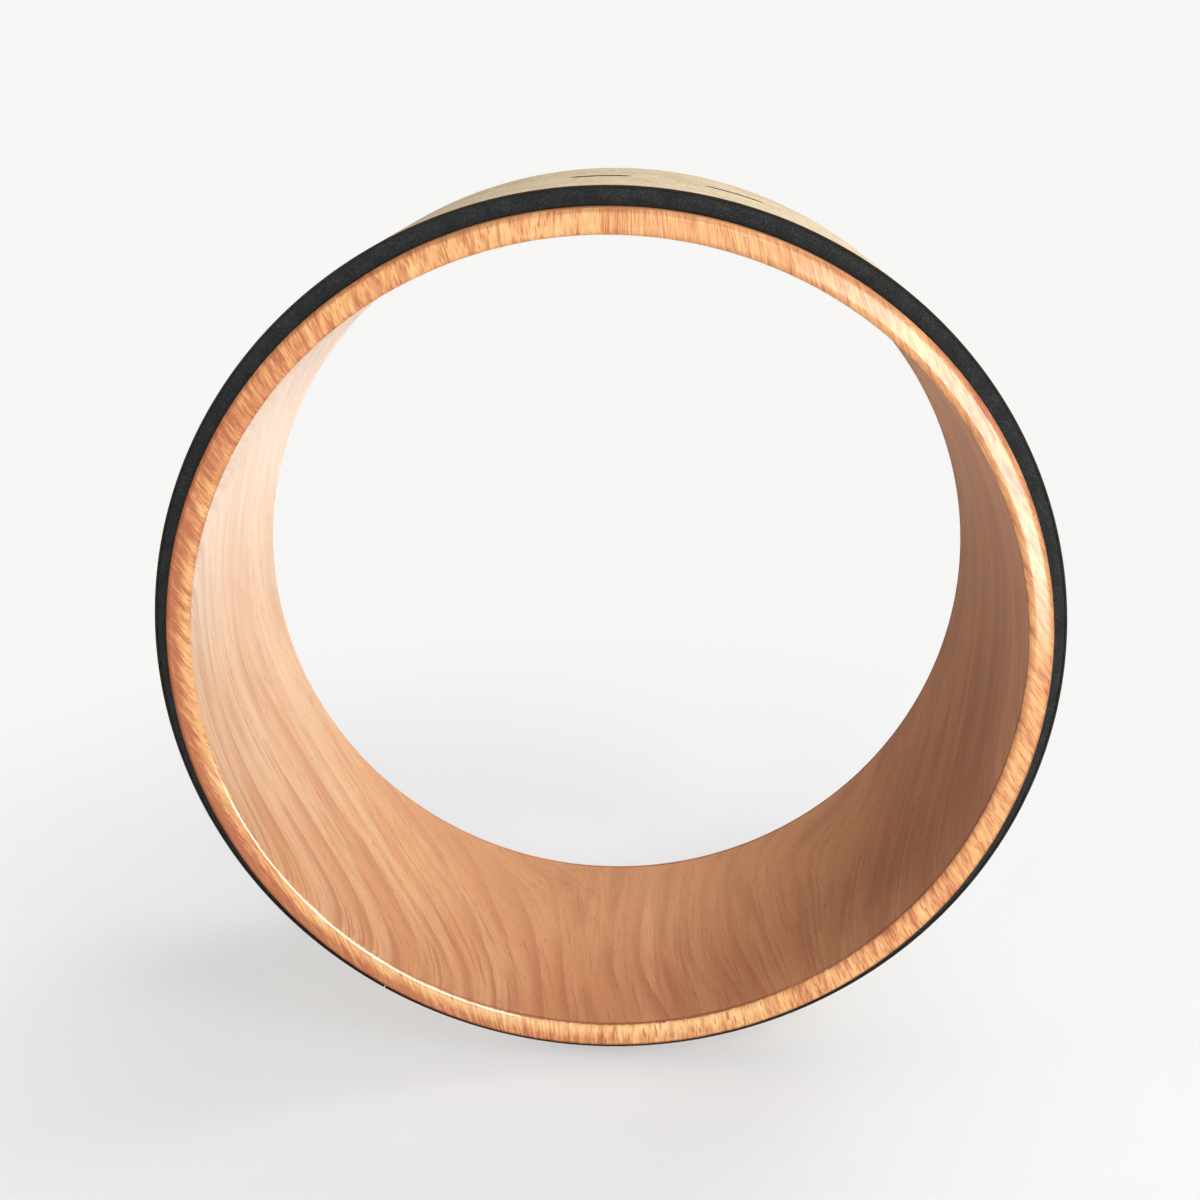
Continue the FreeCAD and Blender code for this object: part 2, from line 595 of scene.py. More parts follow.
    def dark_lines(self, graph: Graph, line: Socket, depth: Socket) -> Socket:
        """Growth rings and fine lines, both fainter towards the back.

        Args:
            graph: Tree to add to.
            line: Place in millimetres across the lines of the grain.
            depth: Distance in millimetres behind the front edge.

        Returns:
            The share of dark latewood.
        """
        behind = graph.eased(depth, *self.fade_mm)
        rings_left = graph.ranged(behind, 1.0, self.rings_left_behind)
        broad = graph.times(self.growth_rings(graph, line), rings_left)
        share = self.fine_lines.weight
        fine_left = graph.ranged(behind, share, self.fine_left_behind * share)
        fine = graph.eased(graph.streak(line, self.fine_lines), *self.fine_limits)
        return graph.larger(broad, graph.times(fine, fine_left))

    def growth_rings(self, graph: Graph, line: Socket) -> Socket:
        """Rings that darken slowly and end at a clear edge, some strong and some faint.

        Args:
            graph: Tree to add to.
            line: Place in millimetres across the lines of the grain.

        Returns:
            The share of dark latewood.
        """
        ring_mm = self.rings.width_mm
        spread_mm = ring_mm * self.ring_spread.weight
        placed = graph.plus(line, graph.times(graph.streak(line, self.ring_spread), spread_mm))
        ring = graph.maths(Maths.FRACT, graph.times(placed, 1.0 / ring_mm))
        ended = graph.eased(ring, *self.ring_ends)
        band = graph.minus(graph.eased(ring, *self.ring_darkens), ended)
        strength = graph.eased(graph.streak(line, self.rings), *self.ring_strength)
        return graph.times(graph.times(band, strength), self.rings.weight)


@dataclass(frozen=True)
class RimGrain:
    """Grain of the flat of each rim, dark to one side, with painted light beside the inside lip
    there.

    Its lines are upright at the top and the bottom and lean one way at both sides.
    """

    lean_mm: float = 210.0
    bands: tuple[Streak, ...] = (
        Streak(70.0, 12.0, -0.50, 3.0),
        Streak(12.0, 1.4, 0.9),
        Streak(6.0, 0.45, 1.1),
    )
    dark_at: float = 250.0
    dark_share: float = 0.30
    # Painted light: the band beside the inside lip is paler on the side that faces the light.
    pale_at: float = 230.0
    painted_light_limits: Limits = (0.0, 0.9)
    painted_light_wall: Limits = (0.25, 0.75)
    painted_light_fray: Streak = Streak(5.0, 0.8, 5.0)
    painted_light_lift: float = 0.34
    stops: Stops = (
        (0.23, (0.525, 0.179, 0.085)),
        (0.38, (0.710, 0.300, 0.128)),
        (0.51, (0.855, 0.430, 0.179)),
        (0.69, (0.932, 0.566, 0.258)),
        (0.86, (0.961, 0.668, 0.331)),
    )
    pores: Pores = Pores(Streak(6.0, 0.45, 0.85, 1.0), (0.58, 0.68), (0.600, 0.165, 0.065))

    def figure(self, graph: Graph, hoop: "Hoop") -> Socket:
        """Lay the figure of the rims.

        Args:
            graph: Tree to add to.
            hoop: The hoop that wears the print.

        Returns:
            The colour.
        """
        across, _, up = graph.parts(graph.place_mm)
        side = graph.maths(Maths.SIGN, across)
        rise = graph.times(graph.times(up, 1.0 / self.lean_mm), side)
        line = graph.times(across, graph.power(math.e, rise))
        tone = graph.weighed(*graph.streaks(line, self.bands))
        dip = graph.larger(graph.drift(self.dark_at), 0.0)
        deepened = graph.minus(tone, graph.times(dip, self.dark_share))
        # Painted light lifts the tone beside the inside lip.
        painted_lift = graph.times(self.painted_lip_light(graph, hoop, line), self.painted_light_lift)
        colour = graph.ramp(graph.plus(deepened, painted_lift), self.stops)
        return self.pores.over(graph, line, colour)

    def painted_lip_light(self, graph: Graph, hoop: "Hoop", line: Socket) -> Socket:
        """Frayed band of painted light beside the inside lip, on the side of the wheel that faces
        the light.

        Args:
            graph: Tree to add to.
            hoop: The hoop that wears the print.
            line: Place in millimetres across the lines of the grain.

        Returns:
            The share of the band, from 0 to 1.
        """
        bore_mm = hoop.bore_radius * PER_MM
        wall_mm = hoop.radius * PER_MM - bore_mm
        frayed = graph.weighed(*graph.streaks(line, [self.painted_light_fray]))
        radius = graph.plus(graph.from_axis(), frayed)
        inner = graph.faded(radius, *(bore_mm + share * wall_mm for share in self.painted_light_wall))
        return graph.times(inner, graph.eased(graph.drift(self.pale_at), *self.painted_light_limits))


@dataclass(frozen=True)
class LipFringe:
    """Ragged dark fringe: painted shade on the inside lips on the side away from the light and in
    the corner beside the tread, and a darker band on the outside lips.
    """

    colour: Colour = (0.300, 0.085, 0.034)
    # Painted shade on the inside lips is strongest on this side, away from the light.
    dark_at: float = 130.0
    dark_limits: Limits = (-0.2, 0.7)
    fold_starts_mm: Limits = (-0.1, 0.6)
    fold_ends_mm: Limits = (0.9, 2.0)
    outside_mm: Limits = (-1.0, 0.0)
    tread_mm: Limits = (1.2, 3.4)
    edge_mm: Limits = (-1.4, -0.2)
    edge_fray_mm: float = 1.6
    edge_pitch_mm: float = 1.4
    edge_share: float = 0.8
    patch_mm: float = 60.0
    patch_limits: Limits = (0.35, 0.60)
    patch_shares: Limits = (0.30, 0.80)

    def outer_edge(self, graph: Graph, hoop: "Hoop") -> Socket:
        """Frayed band on the outside lip and margin, where the print's coat runs out.

        Args:
            graph: Tree to add to.
            hoop: The hoop that wears the print.

        Returns:
            The share of the band, from 0 on the flat to 1 on the lip.
        """
        fray = graph.weighed((graph.grain(self.edge_pitch_mm, detail=3.0), self.edge_fray_mm))
        radius = graph.plus(graph.from_axis(), fray)
        return graph.eased(radius, *beyond(hoop.radius * PER_MM, self.edge_mm))

    def share(self, graph: Graph, hoop: "Hoop", torn: Socket) -> Socket:
        """Darken the inside lips on the side away from the light and the corner beside the tread
        with painted shade, and darken the outside lips.

        Args:
            graph: Tree to add to.
            hoop: The hoop that wears the print.
            torn: Distance in millimetres from the wheel's middle plane, with a ragged edge.

        Returns:
            The share of the fringe's colour.
        """
        fold = graph.minus(
            graph.eased(torn, *beyond(hoop.lip_starts_mm, self.fold_starts_mm)),
            graph.eased(torn, *beyond(hoop.lip_starts_mm, self.fold_ends_mm)),
        )
        # Painted shade on the inside lips, on the side away from the light.
        on_inside = graph.times(fold, graph.eased(graph.drift(self.dark_at), *self.dark_limits))
        outside = graph.eased(graph.from_axis(), *beyond(hoop.radius * PER_MM, self.outside_mm))
        # Painted shade in the corner between the hoop's margin and the tread.
        near_tread = graph.faded(torn, *beyond(hoop.tread_half_width * PER_MM, self.tread_mm))
        beside_tread = graph.times(outside, near_tread)
        on_outside = graph.times(self.outer_edge(graph, hoop), self.edge_share)
        darkest = graph.larger(graph.larger(on_inside, beside_tread), on_outside)
        patchy = graph.eased(graph.grain(self.patch_mm), *self.patch_limits)
        return graph.times(darkest, graph.ranged(patchy, *self.patch_shares))


@dataclass(frozen=True)
class WoodPrint:
    """Wood-grain print under a gloss coat, with one figure on the bore and one on the rims."""

    name: str = "wood_print"
    bore: BoreGrain = BoreGrain()
    rim: RimGrain = RimGrain()
    fringe: LipFringe = LipFringe()
    rag_mm: float = 1.8
    rag_pitch_mm: float = 1.6
    rim_starts_mm: Limits = (1.2, 2.2)
    roughness: Limits = (0.42, 0.58)
    roughness_pitch_mm: float = 30.0
    coat_weight: float = 0.14
    edge_coat_weight: float = 0.0
    coat_ior: float = 1.8
    coat_roughness: float = 0.17
    dimple_pitch_mm: float = 3.5
    dimple_share: float = 0.6
    fibre_share: float = 0.5
    relief_mm: float = 0.02

    def build(self, hoop: "Hoop") -> bpy.types.Material:
        """Make the material.

        Args:
            hoop: The hoop that wears it.

        Returns:
            The material.
        """
        graph = Graph(self.name)
        bore_colour, fibre = self.bore.figure(graph, hoop)
        rim_colour = self.rim.figure(graph, hoop)
        ragged = graph.times(graph.grain(self.rag_pitch_mm, detail=3.0), self.rag_mm)
        torn = graph.plus(graph.off_middle(), ragged)
        on_rim = graph.eased(torn, *beyond(hoop.lip_starts_mm, self.rim_starts_mm))
        colour = graph.laid(on_rim, bore_colour, rim_colour)
        # The fringe is mostly painted shade.
        fringed = graph.laid(self.fringe.share(graph, hoop, torn), colour, self.fringe.colour)
        edge = self.fringe.outer_edge(graph, hoop)
        graph.set(
            base_color=fringed,
            roughness=graph.ranged(graph.grain(self.roughness_pitch_mm), *self.roughness),
            specular_ior_level=NO_GLOSS,
            coat_weight=graph.ranged(edge, self.coat_weight, self.edge_coat_weight),
            coat_roughness=self.coat_roughness,
            coat_ior=self.coat_ior,
        )
        dimples = graph.grain(self.dimple_pitch_mm)
        relief = graph.weighed((dimples, self.dimple_share), (fibre, self.fibre_share))
        graph.emboss(relief, self.relief_mm)
        return graph.material


@dataclass(frozen=True)
class ClosedCellFoam:
    """Matte black foam with fine cells."""

    name: str = "closed_cell_foam"
    stops: Stops = (
        (0.30, (0.022, 0.024, 0.024)),
        (0.55, (0.036, 0.039, 0.039)),
        (0.75, (0.056, 0.060, 0.060)),
    )
    cell_mm: float = 0.55
    cell_share: float = 0.5
    mottle_mm: float = 7.0
    mottle_share: float = 0.5
    roughness: Limits = (0.78, 0.95)
    relief_mm: float = 0.10

    def build(self) -> bpy.types.Material:
        """Make the material.

        Returns:
            The material.
        """
        graph = Graph(self.name)
        cell = graph.cells(self.cell_mm, Cells.NEAREST)
        mottle = graph.grain(self.mottle_mm, detail=4.0)
        tone = graph.weighed((mottle, self.mottle_share), (cell, self.cell_share))
        roughness = graph.ranged(mottle, *self.roughness)
        return graph.matte(graph.ramp(tone, self.stops), roughness, cell, self.relief_mm)


@dataclass(frozen=True)
class FineCork:
    """Beige cork pressed from fine grains, with darker flecks and dark cut edges."""

    name: str = "fine_cork"
    stops: Stops = (
        (0.22, (0.530, 0.395, 0.250)),
        (0.45, (0.665, 0.525, 0.352)),
        (0.62, (0.725, 0.585, 0.408)),
        (0.85, (0.780, 0.660, 0.485)),
    )
    grain_mm: float = 1.3
    grain_share: float = 0.42
    mottle_mm: float = 16.0
    mottle_share: float = 0.6
    fleck: Colour = (0.235, 0.150, 0.085)
    fleck_mm: float = 1.9
    fleck_limits: Limits = (0.655, 0.715)
    fleck_share: float = 0.75
    cut_edge: Colour = (0.045, 0.036, 0.028)
    cut_edge_mm: Limits = (-0.25, -0.1)
    roughness: Limits = (0.70, 0.88)
    border_share: float = 0.6
    dust_mm: float = 0.8
    dust_share: float = 0.8
    relief_mm: float = 0.06

    def build(self, half_width: float) -> bpy.types.Material:
        """Make the material.

        Args:
            half_width: Half the width of the strip.

        Returns:
            The material.
        """
        graph = Graph(self.name)
        shade = graph.parts(graph.cells(self.grain_mm, Cells.SHADE))[0]
        mottle = graph.grain(self.mottle_mm, detail=4.0)
        tone = graph.weighed((shade, self.grain_share), (mottle, self.mottle_share))
        fleck = graph.eased(graph.grain(self.fleck_mm, detail=3.0), *self.fleck_limits)
        flecks = graph.times(fleck, self.fleck_share)
        flecked = graph.laid(flecks, graph.ramp(tone, self.stops), self.fleck)
        cut = graph.eased(graph.off_middle(), *beyond(half_width * PER_MM, self.cut_edge_mm))
        colour = graph.laid(cut, flecked, self.cut_edge)
        roughness = graph.ranged(mottle, *self.roughness)
        border = graph.cells(self.grain_mm, Cells.NEAREST)
        dust = graph.grain(self.dust_mm)
        relief = graph.weighed((border, self.border_share), (dust, self.dust_share))
        return graph.matte(colour, roughness, relief, self.relief_mm)


@dataclass(frozen=True)
class CuredAdhesive:
    """Dark brown contact adhesive, cured in a thin film."""

    name: str = "cured_adhesive"
    stops: Stops = (
        (0.35, (0.030, 0.022, 0.016)),
        (0.65, (0.055, 0.040, 0.028)),
    )
    smear_mm: float = 3.0
    roughness: Limits = (0.45, 0.65)
    relief_mm: float = 0.03

    def build(self) -> bpy.types.Material:
        """Make the material.

        Returns:
            The material.
        """
        graph = Graph(self.name)
        smear = graph.grain(self.smear_mm, detail=3.0)
        roughness = graph.ranged(smear, *self.roughness)
        return graph.matte(graph.ramp(smear, self.stops), roughness, smear, self.relief_mm)


@dataclass(frozen=True)
class PressedInk:
    """Dark brown ink on the grain of the cork, worn thin in places."""

    name: str = "pressed_ink"
    stops: Stops = (
        (0.30, (0.040, 0.030, 0.024)),
        (0.60, (0.070, 0.055, 0.044)),
        (0.80, (0.150, 0.120, 0.090)),
    )
    wear_mm: float = 1.6
    roughness: Limits = (0.6, 0.85)
    grain_mm: float = 1.3
    relief_mm: float = 0.04

    def build(self) -> bpy.types.Material:
        """Make the material.

        Returns:
            The material.
        """
        graph = Graph(self.name)
        worn = graph.grain(self.wear_mm, detail=4.0)
        roughness = graph.ranged(worn, *self.roughness)
        grains = graph.cells(self.grain_mm, Cells.NEAREST)
        return graph.matte(graph.ramp(worn, self.stops), roughness, grains, self.relief_mm)


def linked(name: str, data: bpy.types.ID) -> bpy.types.Object:
    """Make an object and put it into the scene.

    Args:
        name: Name of the object.
        data: Its mesh, lamp or camera.

    Returns:
        The object, at the origin.
    """
    made = bpy.data.objects.new(name, data)
    bpy.context.scene.collection.objects.link(made)
    return made


def meshed(name: str, bm: bmesh.types.BMesh) -> bpy.types.Object:
    """Make an object of a bmesh, which is freed.

    Args:
        name: Name of the object.
        bm: The bmesh.

    Returns:
        The object, at the origin.
    """
    mesh = bpy.data.meshes.new(name)
    bm.to_mesh(mesh)
    bm.free()
    return linked(name, mesh)


def smooth_piece(name: str, bm: bmesh.types.BMesh, sharp_above: float) -> bpy.types.Object:
    """Make a piece of a bmesh, with smooth shading across its gentle edges.

    Args:
        name: Name of the piece.
        bm: The bmesh.
        sharp_above: Angle between faces above which an edge stays sharp.

    Returns:
        The piece, at the origin.
    """
    limit = math.radians(sharp_above)
    for face in bm.faces:
        face.smooth = True
    for edge in bm.edges:
        edge.smooth = edge.is_manifold and edge.calc_face_angle() < limit
    return meshed(name, bm)


def sliced(
    bm: bmesh.types.BMesh, point: Sequence[float], normal: Sequence[float], clear: bool = False
) -> None:
    """Cut whatever a plane crosses.

    Args:
        bm: The mesh to cut.
        point: A point on the plane.
        normal: Direction that the plane faces.
        clear: Whether what lies on that side is dropped.
    """
    everything = [*bm.verts, *bm.edges, *bm.faces]
    bmesh.ops.bisect_plane(
        bm, geom=everything, plane_co=point, plane_no=normal, clear_outer=clear
    )


def turned_to(angle: float) -> Matrix:
    """Rotation from the top of the wheel to an angle round it."""
    return Matrix.Rotation(math.radians(angle), 3, "Y")


class Ring:
    """Mesh of one ring, turned about the wheel's axis from a rectangular section."""

    def __init__(self, inner: float, outer: float, half_width: float) -> None:
        """Start with the four corners of the section, at the top of the wheel.

        Args:
            inner: Inside radius.
            outer: Outside radius.
            half_width: Half the length along the axis.
        """
        self.bm = bmesh.new()
        corners = [
            (-half_width, inner),
            (half_width, inner),
            (half_width, outer),
            (-half_width, outer),
        ]
        self.bm.faces.new([self.bm.verts.new((0.0, along, radius)) for along, radius in corners])

    def round_corners(self, radius: float, size: float, segments: int) -> None:
        """Round the two corners of the section at one radius.

        Args:
            radius: Which corners, the inside or the outside ones.
            size: Radius of the rounding.
            segments: Steps of the rounding.
        """
        bmesh.ops.bevel(
            self.bm,
            geom=[vert for vert in self.bm.verts if abs(vert.co.z - radius) < SAME_RADIUS],
            offset=size,
            offset_type="OFFSET",
            segments=segments,
            profile=0.5,
            affect="VERTICES",
            material=-1,
        )

    def cut_across(self, places: Iterable[float]) -> None:
        """Add points to the section at places along the axis."""
        for place in places:
            sliced(self.bm, (0.0, place, 0.0), WHEEL_AXIS)

    def cut_round(self, radii: Iterable[float]) -> None:
        """Add points to the section at radii."""
        for radius in radii:
            sliced(self.bm, (0.0, 0.0, radius), UPWARDS)

    def turn(self, start: float, sweep: float, steps: int) -> None:
        """Turn the outline of the section about the axis.

        Args:
            start: Angle at which it starts.
            sweep: Angle that it covers.
            steps: Flats round the sweep.
        """
        inside = [edge for edge in self.bm.edges if not edge.is_boundary]
        bmesh.ops.delete(self.bm, geom=self.bm.faces[:], context="FACES_ONLY")
        bmesh.ops.delete(self.bm, geom=inside, context="EDGES")
        bmesh.ops.rotate(self.bm, verts=self.bm.verts, matrix=turned_to(start))
        whole = math.isclose(sweep, FULL_TURN)
        bmesh.ops.spin(
            self.bm,
            geom=[*self.bm.verts, *self.bm.edges],
            cent=CENTRE,
            axis=WHEEL_AXIS,
            angle=math.radians(sweep),
            steps=steps,
            use_merge=whole,
        )
        if not whole:
            self.close_ends()
        self.settle()

    def close_ends(self) -> None:
        """Fill the open ends."""
        open_edges = [edge for edge in self.bm.edges if edge.is_boundary]
        bmesh.ops.holes_fill(self.bm, edges=open_edges, sides=0)

    def trim(self, planes: Iterable[Plane]) -> None:
        """Cut away what lies outside some planes, and close the cuts.

        Args:
            planes: A point and the outward normal of each plane.
        """
        for point, normal in planes:
            sliced(self.bm, point, normal, clear=True)
            self.close_ends()
        self.settle()

    def settle(self) -> None:
        """Merge doubles and point every face outwards."""
        bmesh.ops.remove_doubles(self.bm, verts=self.bm.verts, dist=SAME_POINT)
        bmesh.ops.recalc_face_normals(self.bm, faces=self.bm.faces)

    def shift(self, mover: Callable[[Vector], Vector]) -> None:
        """Move every point to where a function puts it."""
        for vert in self.bm.verts:
            vert.co = mover(vert.co)


def keep_flats_flat(piece: bpy.types.Object) -> None:
    """Let the wide faces of a piece set the shading of the points they share with narrow ones.

    Args:
        piece: The piece.
    """
    weighted = piece.modifiers.new("flat_faces", "WEIGHTED_NORMAL")
    weighted.mode = "FACE_AREA"
    weighted.keep_sharp = True


def dress(
    piece: bpy.types.Object, material: bpy.types.Material, slot: Slot, *nodes: str
) -> None:
    """Give a piece its finish, its body and the solids that it stands for.

    Args:
        piece: The piece.
        material: Its finish.
        slot: Not used.
        nodes: Names of the solids.
    """
    piece.data.materials.append(material)
    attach(piece, BODY)
    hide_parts(*nodes)
    faces = len(piece.data.polygons)
    LOG.info("%s stands for %s, %d faces", piece.name, ", ".join(nodes), faces)


def outer_radius(node: str) -> float:
    """Outside radius of a ring among the solids."""
    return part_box(node)[1].z


@dataclass
class Hoop:
    """Moulded plastic hoop with rounded lips."""

    name: str = "wood_grain_hoop"
    node: str = "hoop"
    bore_radius: float = field(init=False)
    radius: float = field(init=False)
    half_width: float = field(init=False)
    inner_lip: float = field(init=False)
    tread_half_width: float = field(init=False)
    outer_lip: float = 2.0 * MM
    lip_segments: int = 10
    steps: int = 288
    sharp_above: float = 40.0
    finish: WoodPrint = WoodPrint()

    def __post_init__(self) -> None:
        """Take the main sizes from the solids and from the bore mount."""
        bore = next(mount for mount in frame["record"]["mounts"] if mount["name"] == "bore")
        self.bore_radius = bore["dims"]["r_mm"] * MM
        self.radius = outer_radius(self.node)
        self.half_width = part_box(self.node)[1].y
        self.inner_lip = self.half_width - bore["dims"]["length_mm"] * MM / 2
        self.tread_half_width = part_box("foam_pad")[1].y

    @property
    def lip_starts_mm(self) -> float:
        """Distance in millimetres from the middle plane at which the inside lips start."""
        return (self.half_width - self.inner_lip) * PER_MM

    def build(self) -> bpy.types.Object:
        """Turn the section with its four rounded lips.

        Returns:
            The hoop.
        """
        ring = Ring(self.bore_radius, self.radius, self.half_width)
        ring.round_corners(self.bore_radius, self.inner_lip, self.lip_segments)
        ring.round_corners(self.radius, self.outer_lip, self.lip_segments)
        ring.turn(0.0, FULL_TURN, self.steps)
        hoop = smooth_piece(self.name, ring.bm, self.sharp_above)
        keep_flats_flat(hoop)
        dress(hoop, self.finish.build(self), Slot.HOOP_PLASTIC, self.node)
        return hoop


@dataclass
class Tread:
    """Foam pad and cork cover wrapped round the hoop, with their films and two dashes."""

    seam_angle: float = 212.0
    seam_gap: float = 0.4 * MM
    steps: int = 300
    foam_edge: float = 0.3 * MM
    foam_outside_segments: int = 4
    foam_inside_segments: int = 3
    foam_rows: tuple[float, ...] = (0.2, 0.35, 0.5, 0.65, 0.8)
    foam_bulge: float = 0.35 * MM
    foam_sharp_above: float = 50.0
    cut_waver: float = 0.12 * MM
    wavers_per_metre: float = 60.0
    cork_edge: float = 0.2 * MM
    cork_edge_segments: int = 3
    cork_sharp_above: float = 30.0
    dash_length: float = 22.0 * MM
    dash_width: float = 8.0 * MM
    dash_depth: float = 0.2 * MM
    dash_spacing: float = 48.0 * MM
    dash_lead: float = 4.0 * MM
    dash_count: int = 2
    dash_reach: float = 0.8
    cap_leans: tuple[float, ...] = (-60.0, -30.0, 0.0, 30.0, 60.0)
    facing_out: float = 0.9
    ink_depth: float = 0.1 * MM
    ink_overlength: float = 1.1
    ink_steps: int = 24
    half_width: float = field(init=False)
    foam_inside: float = field(init=False)
    foam_outside: float = field(init=False)
    cork_inside: float = field(init=False)
    cork_outside: float = field(init=False)

    def __post_init__(self) -> None:
        """Take the layers' radii and the width from the solids."""
        self.half_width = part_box("foam_pad")[1].y
        self.foam_inside = outer_radius("hoop_adhesive")
        self.foam_outside = outer_radius("foam_pad")
        self.cork_inside = outer_radius("cover_adhesive")
        self.cork_outside = outer_radius("cork_cover")

    def turn_of(self, length: float) -> float:
        """Degrees that a length along the tread takes up."""
        return math.degrees(length / self.cork_outside)

    @property
    def sweep(self) -> float:
        """Angle that the strips cover."""
        return FULL_TURN - self.turn_of(self.seam_gap)

    @property
    def dash_angles(self) -> list[float]:
        """Angles of the dashes' middles."""
        places = [index * self.dash_spacing for index in range(self.dash_count)]
        return [self.turn_of(place - self.dash_lead) for place in places]

    def wavered(self, place: Vector) -> Vector:
        """Move a point on a cut side of the foam as the knife wavered and the foam swelled.

        Args:
            place: Place of the point.

        Returns:
            Its new place.
        """
        middle = (self.foam_inside + self.foam_outside) / 2
        half = (self.foam_outside - self.foam_inside) / 2
        off_middle = (math.hypot(place.x, place.z) - middle) / half
        side = math.copysign(1.0, place.y)
        swelling = self.foam_bulge * max(0.0, 1.0 - off_middle * off_middle)
        along_cut = Vector((place.x, side, place.z)) * self.wavers_per_metre
        waver = self.cut_waver * noise.noise(along_cut)
        return Vector((place.x, place.y + side * (swelling + waver), place.z))

    def build_foam(self) -> bpy.types.Object:
        """Wrap the foam pad, with swollen cut sides and butted ends.

        Returns:
            The foam pad.
        """
        ring = Ring(self.foam_inside, self.foam_outside, self.half_width - self.foam_bulge)
        ring.round_corners(self.foam_outside, self.foam_edge, self.foam_outside_segments)
        ring.round_corners(self.foam_inside, self.foam_edge / 2, self.foam_inside_segments)
        thickness = self.foam_outside - self.foam_inside
        ring.cut_round(self.foam_inside + share * thickness for share in self.foam_rows)
        ring.turn(self.seam_angle, self.sweep, self.steps)
        ring.shift(self.wavered)
        pad = smooth_piece("foam_strip", ring.bm, self.foam_sharp_above)
        dress(pad, ClosedCellFoam().build(), Slot.FOAM, "foam_pad")
        return pad

    def dash_planes(self, angle: float) -> list[Plane]:
        """Planes that trim one dash: its two ends and their rounded corners.

        Args:
            angle: Angle of the dash's middle.

        Returns:
            A point and the outward normal of each plane.
        """
        to_wheel = turned_to(angle)
        cap = self.dash_width / 2
        straight = self.dash_length / 2 - cap
        planes = []
        for end in (-1.0, 1.0):
            for lean in (math.radians(degrees) for degrees in self.cap_leans):
                normal = Vector((end * math.cos(lean), math.sin(lean), 0.0))
                point = Vector((end * straight, 0.0, self.cork_outside)) + normal * cap
                planes.append((to_wheel @ point, to_wheel @ normal))
        return planes

    def build_cork(self) -> bpy.types.Object:
        """Wrap the cork cover and press the recesses of the dashes into it.

        Returns:
            The cork cover.
        """
        ring = Ring(self.cork_inside, self.cork_outside, self.half_width)
        ring.round_corners(self.cork_outside, self.cork_edge, self.cork_edge_segments)
        half_dash = self.dash_width / 2
        ring.cut_across((-half_dash, half_dash))
        ring.turn(self.seam_angle, self.sweep, self.steps)
        for angle in self.dash_angles:
            self.press_recess(ring.bm, angle)
        ring.settle()
        cover = smooth_piece("cork_strip", ring.bm, self.cork_sharp_above)
        dress(cover, FineCork().build(self.half_width), Slot.CORK, "cork_cover")
        return cover

    def strip_faces(self, bm: bmesh.types.BMesh, angle: float) -> list[bmesh.types.BMFace]:
        """Faces of the tread's middle strip round one dash.

        Args:
            bm: Mesh of the cork.
            angle: Angle of the dash's middle.

        Returns:
            The faces.
        """
        outwards = turned_to(angle) @ Vector(UPWARDS)
        middle = outwards * self.cork_outside
        return [
            face
            for face in bm.faces
            if abs(face.calc_center_median().y) < self.dash_width / 2
            and (face.calc_center_median() - middle).length < self.dash_length * self.dash_reach
            and face.normal.dot(outwards) > self.facing_out
        ]

    def press_recess(self, bm: bmesh.types.BMesh, angle: float) -> None:
        """Press the recess of one dash into the cork.

        Args:
            bm: Mesh of the cork.
            angle: Angle of the dash's middle.
        """
        planes = self.dash_planes(angle)
        for point, normal in planes:
            strip = self.strip_faces(bm, angle)
            edges = dict.fromkeys(edge for face in strip for edge in face.edges)
            verts = dict.fromkeys(vert for face in strip for vert in face.verts)
            touched = [*verts, *edges, *strip]
            bmesh.ops.bisect_plane(bm, geom=touched, plane_co=point, plane_no=normal)
        pressed = [
            face
            for face in self.strip_faces(bm, angle)
            if all(
                (face.calc_center_median() - point).dot(normal) < 0.0 for point, normal in planes
            )
        ]
        made = bmesh.ops.extrude_face_region(bm, geom=pressed)
        moved = [item for item in made["geom"] if isinstance(item, bmesh.types.BMVert)]
        bmesh.ops.delete(bm, geom=pressed, context="FACES")
        for vert in moved:
            vert.co -= Vector((vert.co.x, 0.0, vert.co.z)).normalized() * self.dash_depth

    def build_dashes(self) -> bpy.types.Object:
        """Lay the ink on the floor of each recess.

        Returns:
            The dashes.
        """
        both = bmesh.new()
        floor = self.cork_outside - self.dash_depth
        sweep = self.turn_of(self.dash_length) * self.ink_overlength
        for angle in self.dash_angles:
            ring = Ring(floor, floor + self.ink_depth, self.dash_width / 2)
            ring.turn(angle - sweep / 2, sweep, self.ink_steps)
            ring.trim(self.dash_planes(angle))
            one = bpy.data.meshes.new("ink_dash")
            ring.bm.to_mesh(one)
            ring.bm.free()
            both.from_mesh(one)
            bpy.data.meshes.remove(one)
        dashes = smooth_piece("ink_dashes", both, self.cork_sharp_above)
        dress(dashes, PressedInk().build(), Slot.INK, "tread_dashes")
        return dashes

    def dress_films(self) -> None:
        """Give the adhesive films, which keep their solids, their finish."""
        adhesive = CuredAdhesive().build()
        for node in ("hoop_adhesive", "cover_adhesive"):
            film = frame["nodes"][node]
            film.data.materials.clear()
            film.data.materials.append(adhesive)
            LOG.info("%s keeps its solid", node)


def seen_directly(tree: bpy.types.NodeTree) -> Socket:
    """1 for rays from the camera, gloss and glass, and 0 for rays that only bring light.

    Args:
        tree: Node tree of a material or the world.

    Returns:
        The value.
    """
    path = tree.nodes.new("ShaderNodeLightPath")
    seen = path.outputs["Is Camera Ray"]
    for other in ("Is Glossy Ray", "Is Transmission Ray"):
        either = tree.nodes.new("ShaderNodeMath")
        either.operation = Maths.MAXIMUM.value
        tree.links.new(seen, either.inputs[0])
        tree.links.new(path.outputs[other], either.inputs[1])
        seen = either.outputs["Value"]
    return seen


